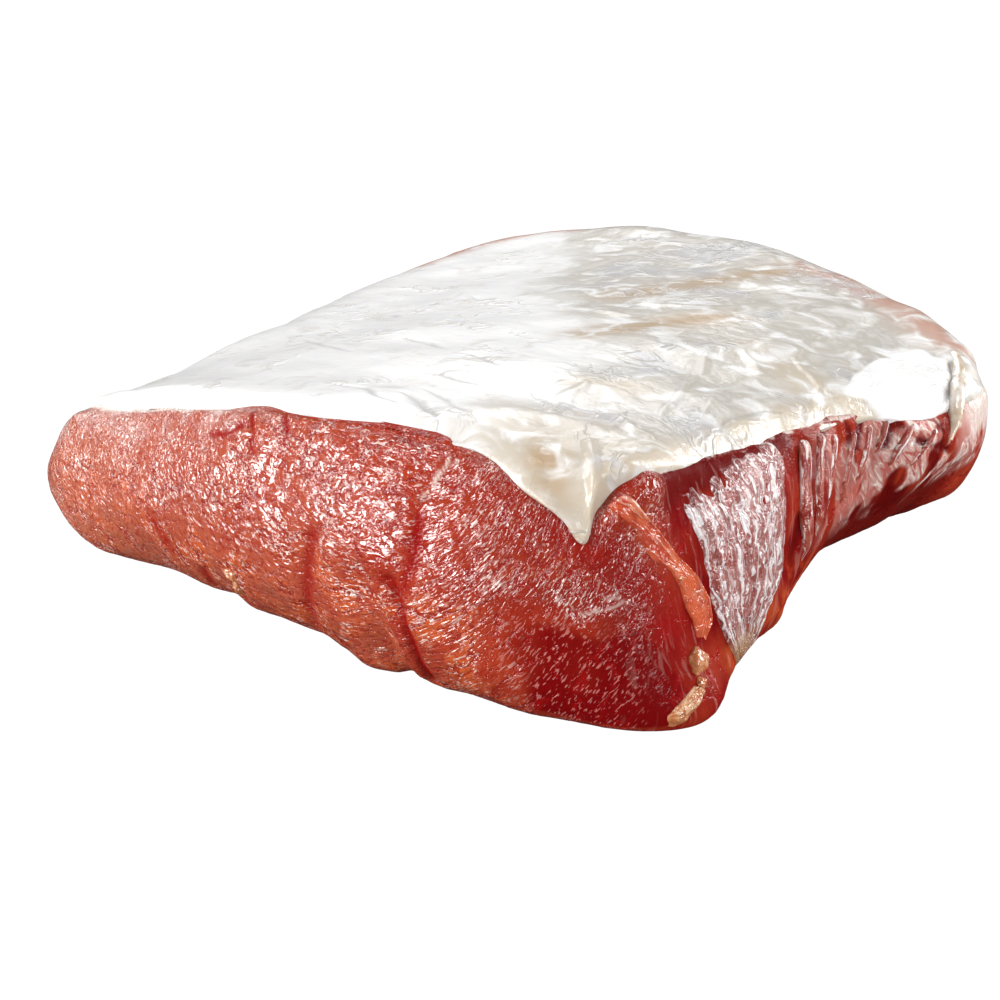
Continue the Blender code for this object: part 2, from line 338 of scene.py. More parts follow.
def wetLeanBeef():
    # Raw beef muscle, cut with a knife: fibre bundles two or three millimetres wide with a dark web between,
    # under a film of juice. It gives the eye a saturated orange red broken by hundreds of small white glints,
    # which come from the coat and are also painted into the colour.
    look = {
        # The groove colour is deep red painted into folds, cuts and under the fat's edge: partly painted shade.
        "tail": "#b5644a", "middle": "#ab3a20", "heel": "#740305", "groove": "#8f0c0b", "web": "#900c0b",
        # roseSheen is a painted sheen: a pale rosy tint in place of the soft reflection of the wet film.
        "roseSheen": "#c8968c", "orange": "#c4582c", "seam": "#f3ddd2", "fringe": "#f1e3da", "maroonAndShade": "#640806",
        # Here the crestAndShine colour is painted glints: near-white flecks painted into the colour.
        "skin": "#d6aca2", "crestAndShine": "#f8e2d8", "dash": "#cf8078", "cleft": "#640709", "vein": "#a8261a",
        "bundles": (2.6, 3.8, 2.6), "blocks": (11.0, 17.0, 11.0),  # size across, along and through, mm
        # Size in mm, layers of detail, and how far the pattern is bent out of line.
        "flecks": ((2.1, 3.4, 2.1), 1.3, 0.8), "glints": ((1.1, 1.6, 1.1), 1.5, 1.0),
        # Cut fibre ends at the heel; where they show, the dash colour paints light pink streaks, partly painted
        # sheen.
        "dashes": ((0.6, 1.3, 2.6), 1.0, 0.4),  # cut fibre ends at the heel
        "veins": ((6.0, 2.6, 9.0), 3.0, 1.2), "streaks": ((4.0, 2.0, 16.0), 2.0, 0.4),
        "patch": (9.0, 2.0, 0.5), "swell": (6.0, 1.0, 0.6), "grain": (1.1, 2.0, 0.8),
    }
    made, tree, mm, masks = newMaterial("raw beef lean, knife cut and wet", (
        "redness", "deepRedAndShade", "seams", "fringe", "roseSheen", "orange", "wet", "slantCut", "heel", "maroonAndShade", "skin",
        "calm", "cleft"))
    layer = dict(masks)
    flow = addNode(tree, "ShaderNodeAttribute", out="Vector", attribute_name="flow")
    bend = addNode(tree, "ShaderNodeTexNoise", {"Vector": mm, "Scale": 0.22, "Detail": 3.0}, out="Color")
    bend = addNode(tree, "ShaderNodeVectorMath", {0: bend, 1: (8, 8, 8)}, operation="MULTIPLY")
    bent = addNode(tree, "ShaderNodeVectorMath", {0: flow, 1: bend}, operation="ADD")
    for name in ("bundles", "blocks"):
        placed = addNode(tree, "ShaderNodeMapping", {"Vector": bent, "Scale": look[name]}, vector_type="TEXTURE")
        layer[name] = addNode(tree, "ShaderNodeTexVoronoi", {
            "Vector": placed, "Scale": 1.0}, feature="DISTANCE_TO_EDGE")
    for name, vector, turn in (
            ("flecks", flow, (0, 0, 0)), ("glints", flow, (0, 0, 0)), ("dashes", mm, (0, math.radians(31), 0)),
            ("veins", mm, (math.radians(28), 0, 0)), ("streaks", mm, (0, 0, 0))):
        size, detail, bending = look[name]
        placed = addNode(tree, "ShaderNodeMapping", {
            "Vector": vector, "Rotation": turn, "Scale": size}, vector_type="TEXTURE")
        layer[name] = addNode(tree, "ShaderNodeTexNoise", {
            "Vector": placed, "Scale": 1.0, "Detail": detail, "Distortion": bending})
    for name in ("patch", "swell", "grain"):
        size, detail, bending = look[name]
        layer[name] = addNode(tree, "ShaderNodeTexNoise", {
            "Vector": mm, "Scale": 1 / size, "Detail": detail, "Distortion": bending})
    for name, mask, start, full, least, most in (
            ("pastTail", "redness", 0.0, 0.5, 0.0, 1.0), ("pastMiddle", "redness", 0.5, 1.0, 0.0, 1.0),
            ("notSlant", "slantCut", 0.0, 1.0, 1.0, 0.0), ("fleckShare", "wet", 0.0, 1.0, 0.25, 1.0),
            ("rough", "calm", 0.0, 1.0, 1.0, 0.4)):
        layer[name] = addNode(tree, "ShaderNodeMapRange", {
            0: masks[mask], 1: start, 2: full, 3: least, 4: most})
    mixLayers(tree, layer, (
        ("webEdge", "bundles", 0.12, 0.02, 1.0), ("webPatch", "grain", 0.42, 0.55, 1.0),
        ("blockEdge", "blocks", 0.07, 0.0, 1.0), ("blockPatch", "patch", 0.4, 0.55, 1.0),
        ("cluster", "patch", 0.42, 0.56, 1.0), ("glint", "glints", 0.56, 0.62, 1.0),
        ("darkFleck", "flecks", 0.45, 0.37, 0.45), ("fibreEnd", "dashes", 0.59, 0.67, 0.65),
        ("mottle", "patch", 0.35, 0.6, 1.0), ("streak", "streaks", 0.56, 0.68, 0.15),
        ("redVein", "veins", 0.50, 0.42, 0.8), ("paleVein", "veins", 0.54, 0.62, 0.85),
    ), (
        ("webPart", "notSlant", "webPatch"), ("webLine", "webEdge", "webPart"),
        ("blockLine", "blockEdge", "blockPatch"), ("glintPart", "cluster", "glint"),
        # paintedGlints: painted highlights, near-white flecks in clusters over the wet parts, beside the coat's
        # real glints.
        ("paintedGlints", "wet", "glintPart"), ("between", "fleckShare", "darkFleck"),
        # fibreEndSheen: the heel's lighter dashes, partly painted sheen.
        ("fibreEndSheen", "heel", "fibreEnd"), ("orangeSpots", "orange", "mottle"), ("roseSheenSpots", "roseSheen", "mottle"),
        ("streakLines", "calm", "streak"), ("redVeins", "skin", "redVein"), ("paleVeins", "skin", "paleVein"),
        ("veinHeight", "skin", "veins"), ("endHeight", "slantCut", "dashes"),
        ("fleckHeight", "flecks", "notSlant"),
    ))
    colour = paintOver(tree, layer, look, "tail", (
        ("pastTail", 1, "middle"), ("pastMiddle", 1, "heel"), ("orangeSpots", 1, "orange"),
        ("blockLine", 0.8, "web"), ("between", 1, "web"), ("roseSheenSpots", 1, "roseSheen"), ("paintedGlints", 0.75, "crestAndShine"),
        ("webLine", 0.7, "web"), ("fibreEndSheen", 1, "dash"), ("maroonAndShade", 1, "maroonAndShade"), ("streakLines", 1, "skin"),
        ("deepRedAndShade", 1, "groove"), ("skin", 1, "skin"), ("redVeins", 1, "vein"), ("paleVeins", 1, "fringe"),
        ("cleft", 1, "cleft"), ("seams", 1, "seam"), ("fringe", 1, "fringe")))
    height = addNode(tree, "ShaderNodeMath", {0: layer["webLine"], 1: -0.14}, operation="MULTIPLY")  # mm
    for name, amount in (("blockLine", -0.45), ("swell", 1.1), ("grain", 0.05), ("veinHeight", 1.2),
                         ("endHeight", 0.4), ("fleckHeight", 0.85)):
        height = addNode(tree, "ShaderNodeMath", {
            0: layer[name], 1: amount, 2: height}, operation="MULTIPLY_ADD")
    film, flesh = [addNode(tree, "ShaderNodeBump", {
        "Strength": layer["rough"], "Distance": distance, "Height": height}) for distance in (0.001, 0.0006)]
    shiny = addNode(tree, "ShaderNodeMath", {0: layer["fibreEndSheen"], 1: masks["skin"]}, operation="MAXIMUM")
    shiny = addNode(tree, "ShaderNodeMath", {0: shiny, 1: -0.6}, operation="MULTIPLY")
    dry = addNode(tree, "ShaderNodeMath", {0: masks["slantCut"], 1: 0.9, 2: shiny}, operation="MULTIPLY_ADD")
    for mask in ("maroonAndShade", "deepRedAndShade"):
        dry = addNode(tree, "ShaderNodeMath", {0: dry, 1: masks[mask]}, operation="MAXIMUM")
    shader = addNode(tree, "ShaderNodeBsdfPrincipled", {
        "Base Color": colour, "Roughness": 0.5, "IOR": 1.4, "Specular IOR Level": 0.05, "Normal": flesh,
        "Subsurface Weight": 0.15, "Subsurface Radius": (1.0, 0.25, 0.1), "Subsurface Scale": 0.002,
        "Coat Weight": addNode(tree, "ShaderNodeMapRange", {0: dry, 3: 1.0, 4: 0.0}),
        "Coat Roughness": 0.06, "Coat IOR": 1.85, "Coat Normal": film})
    addNode(tree, "ShaderNodeOutputMaterial", {"Surface": shader}, out=None)
    return made


def beefFat():
    # Hard back fat pulled clean of its membrane: chalk white towards the tail, pearly and slightly translucent
    # over the chine side, with a waxy sheen, soft crumples and a few pulled ridges.
    look = {
        "chalk": "#f9f8f7", "pearl": "#c2bcb2", "lilac": "#bdbbbd", "milk": "#dcd8d2", "cream": "#c9bca9",
        # creaseShade is painted shade: grey in the sunk creases and the recess beside the trimmed lump.
        "tan": "#bca283", "blush": "#c98b73", "creaseShade": "#9d9996", "lump": "#fdfcfb",
        # Size in mm, layers of detail, and how far the pattern is bent out of line.
        "mottle": (12.0, 4.0, 0.9), "clouds": (34.0, 3.0, 0.7), "crumple": (4.5, 3.0, 1.2),
        "ridges": (17.0, 3.0, 1.5), "grain": (1.5, 2.0, 0.6),
    }
    made, tree, mm, masks = newMaterial("beef back fat, waxy", (
        "pearl", "cream", "tan", "blush", "chalk", "creaseShade", "moist"))
    layer = dict(masks)
    for name in ("mottle", "clouds", "crumple", "ridges", "grain"):
        size, detail, bending = look[name]
        layer[name] = addNode(tree, "ShaderNodeTexNoise", {
            "Vector": mm, "Scale": 1 / size, "Detail": detail, "Distortion": bending})
    ridgeGap = addNode(tree, "ShaderNodeMath", {0: layer["ridges"], 1: 0.5}, operation="SUBTRACT")
    layer["ridgeGap"] = addNode(tree, "ShaderNodeMath", {0: ridgeGap}, operation="ABSOLUTE")
    for name, mask, least, most in (
            ("grainDepth", "moist", 0.04, 0.14), ("crumpleDepth", "pearl", 0.45, 0.8),
            ("mottleDepth", "pearl", 0.15, 0.35)):
        layer[name] = addNode(tree, "ShaderNodeMapRange", {0: masks[mask], 3: least, 4: most})
    mixLayers(tree, layer, (
        ("soft", "mottle", 0.28, 0.58, 1.0), ("milky", "mottle", 0.56, 0.7, 0.55),
        ("cloudy", "clouds", 0.5, 0.66, 0.8), ("ridgeLine", "ridgeGap", 0.06, 0.0, 1.0),
        ("ridgePart", "clouds", 0.5, 0.62, 1.0),
    ), (
        ("pearlSpots", "pearl", "soft"), ("lilacSpots", "pearl", "cloudy"), ("creamSpots", "cream", "soft"),
        ("tanSpots", "tan", "soft"), ("blushSpots", "blush", "soft"), ("ridge", "ridgeLine", "ridgePart"),
        ("grainHeight", "grain", "grainDepth"), ("crumpleHeight", "crumple", "crumpleDepth"),
        ("mottleHeight", "mottle", "mottleDepth"),
    ))
    colour = paintOver(tree, layer, look, "chalk", (
        ("pearlSpots", 1, "pearl"), ("lilacSpots", 1, "lilac"), ("milky", 1, "milk"), ("creamSpots", 1, "cream"),
        ("tanSpots", 1, "tan"), ("blushSpots", 1, "blush"), ("ridge", 0.6, "milk"), ("chalk", 1, "lump"),
        ("creaseShade", 0.5, "creaseShade")))
    height = layer["grainHeight"]  # mm
    for name, amount in (("mottleHeight", 0.9), ("crumpleHeight", 0.28), ("ridge", 0.35)):
        height = addNode(tree, "ShaderNodeMath", {
            0: layer[name], 1: amount, 2: height}, operation="MULTIPLY_ADD")
    bump = addNode(tree, "ShaderNodeBump", {"Strength": 1.0, "Distance": 0.001, "Height": height})
    shader = addNode(tree, "ShaderNodeBsdfPrincipled", {
        "Base Color": colour, "Roughness": 0.45, "IOR": 1.45, "Normal": bump,
        "Subsurface Weight": 0.25, "Subsurface Radius": (1.0, 0.8, 0.6), "Subsurface Scale": 0.002,
        "Coat Weight": 0.45, "Coat Roughness": 0.16, "Coat IOR": 1.5, "Coat Normal": bump})
    addNode(tree, "ShaderNodeOutputMaterial", {"Surface": shader}, out=None)
    return made


def tissue(name, look):
    # One build for the films on the meat: strands along the flow, pale where they stand proud and the meat's red
    # between them. The pale strand tops and the pale lip along one edge are partly painted shine.
    made, tree, mm, masks = newMaterial(name, ("across", "down"))
    tangle = addNode(tree, "ShaderNodeTexNoise", {
        "Vector": mm, "Scale": 1 / 7, "Detail": 2.0, "Distortion": 0.6}, out="Color")
    tangle = addNode(tree, "ShaderNodeVectorMath", {0: tangle, 1: (look["tangle"],) * 3}, operation="MULTIPLY")
    flow = addNode(tree, "ShaderNodeAttribute", out="Vector", attribute_name="flow")
    flow = addNode(tree, "ShaderNodeVectorMath", {0: flow, 1: tangle}, operation="ADD")
    placed = addNode(tree, "ShaderNodeMapping", {
        "Vector": flow, "Scale": (*look["strand"], 1)}, vector_type="TEXTURE")
    layer = dict(masks)
    for pattern, vector, size, detail in (
            ("strand", placed, 1.0, 3.0), ("mottle", mm, look["mottle"], 3.0), ("grain", mm, 1.4, 2.0)):
        layer[pattern] = addNode(tree, "ShaderNodeTexNoise", {
            "Vector": vector, "Scale": 1 / size, "Detail": detail, "Distortion": 0.8})
    fromRoot = addNode(tree, "ShaderNodeMath", {
        0: layer["strand"], 1: 0.3, 2: masks["down"]}, operation="MULTIPLY_ADD")
    layer["fromRoot"] = addNode(tree, "ShaderNodeMath", {
        0: masks["across"], 1: look["rootSlant"], 2: fromRoot}, operation="MULTIPLY_ADD")
    rootFull, rootStart = look["root"]
    mixLayers(tree, layer, (
        ("filmy", "mottle", 0.38, 0.62, 1.0), ("between", "strand", 0.56, 0.38, look["between"]),
        ("white", "strand", *look["white"], look["shine"]), ("lip", "across", 0.86, 0.92, look["lip"]),
        ("nearEnd", "down", *look["ends"], 1.0), ("endSpots", "mottle", 0.3, 0.6, 1.0),
        ("root", "fromRoot", 0.15 + rootStart, 0.15 + rootFull, 1.0),
    ), (("end", "nearEnd", "endSpots"),))
    colour = paintOver(tree, layer, look, "flesh", (
        ("filmy", 1, "film"), ("between", 1, "flesh"), ("white", 1, "crestAndShine"), ("lip", 1, "crestAndShine"),
        ("end", 1, "end"), ("root", 1, "meat")))
    height = addNode(tree, "ShaderNodeMath", {
        0: layer["grain"], 1: 0.35, 2: layer["strand"]}, operation="MULTIPLY_ADD")
    bump = addNode(tree, "ShaderNodeBump", {"Strength": 1.0, "Distance": look["bump"], "Height": height})
    shader = addNode(tree, "ShaderNodeBsdfPrincipled", {
        "Base Color": colour, "Roughness": 0.4, "IOR": 1.4, "Specular IOR Level": 0.3, "Normal": bump,
        "Subsurface Weight": 0.15, "Subsurface Radius": (1.0, 0.4, 0.3), "Subsurface Scale": 0.002,
        "Coat Weight": addNode(tree, "ShaderNodeMapRange", {0: layer["root"], 3: 1.0, 4: 0.3}),
        "Coat Roughness": 0.08, "Coat IOR": 1.85, "Coat Normal": bump})
    addNode(tree, "ShaderNodeOutputMaterial", {"Surface": shader}, out=None)
    return made


leanValues = {
    "underside": 0.006,  # inset of the plain foot, m
    "lumps": (15.0, 0.5),  # size across and height, mm
    "bundles": (3.6, 0.2),
    "grit": (1.8, 0.08),
    "strands": ((50.0, 5.0, 22.0), 0.5),
    "fan": (-61.0, 82.0),  # x and z that the cut fibres spread from, mm
    # How red the cut face is along x, then the streaks on it: path and half width, mm.
    "redness": ((-240, 0.0), (-185, 0.1), (-130, 0.32), (-95, 0.42), (-60, 0.54), (-35, 0.7), (5, 0.8)),
    "redder": (((-26, -16, 56), (-12, -8, 48), (-6, -2, 36), (-2, 2, 26)), 9),
    "wetter": (((-70, -30, 25), (-40, -28, 18)), 12),
    # darkBeforeRoll: darker maroon just before the roll of fat.
    "darkBeforeRoll": (((23, 141, 47), (20, 134, 37)), 5),  # maroon, before the roll of fat
    "dip": ((-27, -17, 55), (-14, -9, 50), (-7, -2, 38), (-3, 2, 28)),  # dark and dull, left of the band
    "orange": (  # path, half width in mm, how orange
        (((-18, -5, 67), (-15, -1, 61), (-11, 1, 54), (-8, 5, 48)), 3.5, 0.9),
        (((-32, -22, 51), (-18, -14, 51)), 5.0, 0.5),
        (((-30, -25, 12), (-70, -25, 3)), 6.0, 0.5),
    ),
    # The deep red that a fold holds is partly painted shade in the crease and partly the meat's deeper red.
    "folds": (  # path, half width, depth or rise in mm, how much deep red it holds
        (((-71, -31, 38), (-67, -33, 30), (-65, -33, 22), (-64, -30, 13), (-63, -24, 5)), 3.0, -2.6, 1.0),
        (((-70, -32, 34), (-66, -33, 24), (-64, -28, 10)), 6.0, 0.0, 0.5),
        (((-80, -30, 26), (-76, -29, 12)), 5.0, 1.2, 0.0),
        (((-52, -30, 24), (-50, -28, 10)), 5.0, 0.9, 0.0),
        (((-99, -29, 44), (-100, -28, 40), (-102, -28, 32), (-104, -27, 21), (-106, -22, 9)), 2.4, -0.7, 0.8),
        (((-61, -13, 73), (-62, -16, 69), (-63, -19, 64), (-65, -22, 61)), 1.5, -0.7, 0.0),
        (((-65, -25, 57), (-64, -28, 50), (-64, -30, 45), (-66, -31, 38)), 2.2, -0.9, 1.0),
        (((-134, -11, 67), (-130, -16, 64), (-128, -19, 58)), 0.9, -0.6, 1.0),
        (((-122, -10, 69), (-118, -15, 67), (-117, -17, 62)), 1.1, -0.6, 1.0),
        (((-147, -17, 59), (-139, -17, 61), (-135, -15, 64)), 1.3, -0.7, 1.0),
        (((-136, -23, 15), (-134, -21, 8)), 2.4, -1.2, 0.9),
        (((-151, -19, 14), (-151, -15, 6)), 1.8, -0.9, 0.9),
        (((-167, -23, 27), (-163, -22, 22), (-162, -22, 17)), 2.4, -0.5, 0.8),
        (((-28, -21, 42), (-23, -19, 40), (-18, -17, 36)), 1.6, -0.6, 0.0),
    ),
    # The gaps between the straps are also painted near black red: painted shade.
    "clefts": (  # dark gaps between the straps: path, half width and depth, mm
        (((2, 91, 58), (5, 84, 53), (8, 81, 47)), 2.6, 1.6),
        (((6, 108, 56), (8, 103, 48)), 2.4, 1.6),
        (((12, 117, 51), (12, 115, 45)), 2.2, 1.4),
        (((20, 124, 45), (24, 141, 37)), 2.0, 1.2),
        (((2, 76, 58), (5, 72, 46), (6, 70, 34), (6, 66, 22)), 2.8, 1.6),
    ),
    "bulges": (  # path, half width and rise in mm: where the outline is fuller
        (((-214, -6, 46), (-206, -4, 51)), 10, 2.6),
        (((-214, -14, 8), (-204, -13, 4)), 8, 1.6),
        (((-118, -17, 5), (-103, -18, 4)), 10, 0.6),
        (((-86, -18, 5), (-80, -18, 4)), 7, 3.2),
        (((7, 14, 5), (7, 20, 4)), 9, 1.2),
        (((-22, -5, 63), (-18, -1, 65), (-15, 5, 66)), 5.5, 4.2),
    ),
    "seams": (  # pale connective tissue between the muscles: path, half width in mm, how white
        (((-61, -13, 73), (-62, -16, 69), (-64, -20, 63), (-66, -22, 60)), 0.45, 1.0),
        (((-46, -26, 47), (-42, -26, 45), (-39, -25, 44), (-34, -24, 42)), 0.4, 0.6),
        (((-28, -21, 42), (-23, -19, 40), (-18, -17, 36), (-15, -14, 38), (-11, -9, 40), (-8, -6, 37)),
         0.35, 0.55),
        (((-16, -13, 41), (-13, -10, 43), (-12, -10, 41)), 0.4, 0.55),
        (((-137, -24, 20), (-135, -23, 18)), 1.3, 1.0),
        (((-36, -24, 55), (-40, -26, 47), (-44, -27, 40)), 0.35, 0.6),
    ),
}


def hemDistance(points):  # how far each is from the hem of the fat, mm
    return np.array([hemTree.find(Vector(point))[2] for point in points]) * 1000


print("lean: copied from the frame, softened and carved")
lean, fat = copyOfNode("lean", "lean_muscle"), copyOfNode("fat_cap", "fat_layer")
editPiece(fat)
selectFaces(fat, lambda middle, normal: normal.z < -0.3)
mesh = bmesh.from_edit_mesh(fat.data)
hemLine = [edge.verts[0].co.lerp(edge.verts[1].co, step / 12) for edge in mesh.edges
           if len({face.select for face in edge.link_faces}) == 2 for step in range(12)]
leaveEdit()
hemTree = KDTree(len(hemLine))
for n, spot in enumerate(hemLine):
    hemTree.insert(spot, n)
hemTree.balance()
editPiece(lean)
selectFaces(lean, lambda middle, normal: normal.z < -0.97 and middle[2] < 0.3)
bpy.ops.mesh.dissolve_faces()
bpy.ops.mesh.inset(thickness=leanValues["underside"])
leaveEdit()
applyModifier(lean, "SUBSURF", levels=2, render_levels=2, use_limit_surface=False)
editPiece(lean)
selectFaces(lean, lambda middle, normal: normal.z > 0.5)  # the top lies under the fat
for step in range(6):
    bpy.ops.mesh.select_less()
bpy.ops.mesh.dissolve_limited(angle_limit=math.radians(4))
selectFaces(lean, lambda middle, normal: abs(normal.z) < 0.93 and normal.x * 0.54 - normal.y * 0.84 > -0.1)
bpy.ops.mesh.subdivide(number_cuts=1, smoothness=0.0)
leaveEdit()

fatSurface = surfaceOf(frame["nodes"]["fat_cap"])
places, normals = readPoints(lean), readPoints(lean, "normal")
spots = toHeel(places)
x, y, z = spots.T
outline = sum(stroke(spots, path, width) * rise for path, width, rise in leanValues["bulges"])
places += normals * (outline * fade(z, 0.0, 1.5) / 1000)[:, None]
writePoints(lean, places)
smoothLean = surfaceOf(lean)
towardsFat = distanceTo(fatSurface, places)
onFront = fade(0.6 * normals[:, 2] - normals[:, 1], 0.2, 0.6) * fade(y, 12.0, 2.0)
onRight = fade(normals[:, 0], 0.2, 0.6) * fade(y, 4.0, 14.0)
glisten = (1 - onRight) * np.maximum(fade(x, -2, -10), fade(y, 180, 200))
foot = fade(z, 0.2, 4.0)
lumps = noise(spots, leanValues["lumps"][0], 3) * leanValues["lumps"][1]
bundles = (0.45 - cobbles(spots, leanValues["bundles"][0], 5)) * leanValues["bundles"][1]
grit = layered(spots, leanValues["grit"][0], 9, 2) * leanValues["grit"][1]
strand = layered(spots, leanValues["strands"][0], 21, 3)
cleft = np.zeros(len(spots))
for path, width, depth in leanValues["clefts"]:
    here = stroke(spots, path, width * (1 + 0.4 * noise(spots, 5.0, 77)))
    cleft = np.maximum(cleft, here * depth)
relief = lumps + (bundles + grit) * (1 - 0.7 * onRight) + strand * onRight * leanValues["strands"][1] - cleft
# Deep red painted into the folds and cuts: painted shade in the creases, over the meat's deeper red.
deepRedAndShade = np.zeros(len(spots))
for path, width, depth, red in leanValues["folds"]:
    here = stroke(spots, path, width)
    relief += here * depth
    deepRedAndShade = np.maximum(deepRedAndShade, here * red)
seams = np.zeros(len(spots))
wander = np.stack([layered(spots, 6.0, 71), 0 * x, layered(spots, 6.0, 72)], 1) * 2.4
for path, width, white in leanValues["seams"]:
    here = stroke(spots + wander, path, width * (1 + 0.8 * noise(spots, 2.0, 35)))
    seams = np.maximum(seams, here * white)
    relief += here * 0.25
fromHem = hemDistance(places)
covered = fade(normals[:, 2], 0.3, 0.6) * fade(towardsFat, 3.0, 2.0) * fade(fromHem, 6.0, 14.0)
places[:, 2] -= covered * 0.0018  # well under the fat, which hides it
writePoints(lean, places + normals * (relief * foot * fade(towardsFat, 0.0, 2.5) / 1000)[:, None])

fanX, fanZ = leanValues["fan"]
reach = np.hypot(x - fanX, z - fanZ)
turn = np.arctan2(fanZ - z, fanX - x)  # 0 towards the tail, growing towards the foot and the heel
spread = 45 * turn * (np.maximum(reach, 12) / 60) ** 0.9
closer = (1 + 0.55 * fade(x, -120, -225))[:, None]  # finer bundles towards the tail
storeVector(lean, "flow", np.stack([spread, reach, y], 1) * closer)
heelTop = 44 - 0.35 * (x + 28)  # how high the slanting cut of the heel reaches, mm
heelCut = onFront * fade(x + 5 * noise(spots, 9.0, 37), -50, -26)
heelCut *= fade(z + 3 * noise(spots, 8.0, 38), heelTop, heelTop - 10)
redness = np.interp(x + 8 * noise(spots, 18.0, 31), *np.transpose(leanValues["redness"]))
redness = np.maximum(redness, heelCut) + 0.12 * stroke(spots, *leanValues["redder"])
redness += 0.16 * layered(spots, 24.0, 32) - 0.1 * fade(z, 34, 14) * fade(x, -40, -60)
sideRedness = 0.95 - 0.3 * fade(y, 80, 95) + 0.3 * layered(spots, 14.0, 36)
orange = fade(z + 7 * noise(spots, 16.0, 33), 42, 26) * fade(x, -34, -50) + 0.45 * fade(x, -150, -200)
for path, width, strength in leanValues["orange"]:
    orange += strength * stroke(spots, path, width)
sideOrange = 0.6 * fade(z + 6 * noise(spots, 9.0, 45), 28, 14) * fade(y, 18, 30) * fade(y, 95, 80)
# Painted sheen: pale rose near the fat on the upper left and over the left end, in place of the broad soft
# reflection of a thin wet film.
roseSheen = 0.8 * fade(towardsFat + 5 * noise(spots, 9.0, 41), 17, 2) * fade(x, -110, -150)
roseSheen += 0.4 * fade(towardsFat + 1.5 * noise(spots, 5.0, 42), 5, 1) * fade(x, -130, -160)
roseSheen += 0.35 * fade(x, -190, -235)
# A thin darker red line just under the fat's edge: painted shade.
underFatShade = 0.4 * fade(towardsFat, 2.0, 0.6) * onFront * fade(x, -165, -135)
dip = 0.62 * stroke(spots, leanValues["dip"], 8) * (0.8 + 0.5 * noise(spots, 6.0, 53))
tailFringe = fade(x, -130, -165) * fade(towardsFat + 1.6 * layered(spots, 6.0, 44), 3.0, 1.2)
sideFringe = 0.7 * fade(towardsFat + 1.4 * layered(spots, 3.0, 49), 0.9, 0.3)
sideFringe += 0.75 * fade(y, 144, 160) * fade(y, 225, 190) * fade(z + 6 * noise(spots, 7.0, 50), 32, 42)
wet = 1 - 0.3 * fade(z + 8 * noise(spots, 14.0, 46), 34, 18) * fade(x, -150, -105)
wet += 0.5 * stroke(spots, *leanValues["wetter"])
wet *= (1 - 0.65 * stroke(spots, leanValues["dip"], 9)) * (0.8 + 0.45 * noise(spots, 9.0, 47))
membrane = onRight * fade(y, 74, 86) * fade(z + 4 * noise(spots, 10.0, 47), 18, 27)
torn = fade(layered(spots, (16.0, 7.0, 11.0), 48, 3), -0.2, 0.15)
# Darker maroon on the right side: a band just under the fat's edge, the low part of the undercut end and the
# hollows between the membrane's strands. There it is painted shade over the meat's own darker red.
maroonAndShade = fade(towardsFat + 1.5 * noise(spots, 5.0, 43) + 0.07 * (y - 40), 11, 5) * fade(y, 78, 70)
maroonAndShade += 0.85 * fade(y, 84, 98) * fade(z + 5 * noise(spots, 12.0, 45), 31, 20) * (1 - fade(y, 150, 170))
maroonAndShade += 0.8 * stroke(spots, *leanValues["darkBeforeRoll"])
leanMasks = {
    "redness": redness * (1 - onRight) + sideRedness * onRight,
    "deepRedAndShade": np.maximum.reduce([0.95 * deepRedAndShade, underFatShade, dip]),
    "seams": seams,
    "fringe": tailFringe + sideFringe * onRight,
    "calm": np.maximum(onRight, fade(x, -12, -2)) * (1 - fade(y, 70, 90)),
    "roseSheen": roseSheen * (1 - onRight),
    "orange": orange * (1 - heelCut) * (1 - onRight) + sideOrange * onRight,
    "wet": glisten * (1 - heelCut) * wet,
    "slantCut": np.maximum(heelCut, 1 - glisten),
    "heel": heelCut * fade(x, 0, -9),
    "maroonAndShade": maroonAndShade * onRight + 0.9 * membrane * fade(strand, -0.1, -0.35),
    "skin": membrane * torn * (0.3 + 0.6 * fade(y, 96, 122)),
    # cleft: painted shade, near black red in the gaps between the straps.
    "cleft": fade(cleft, 0.5, 1.2),
}
for name, shares in leanMasks.items():
    storeMask(lean, name, shares)

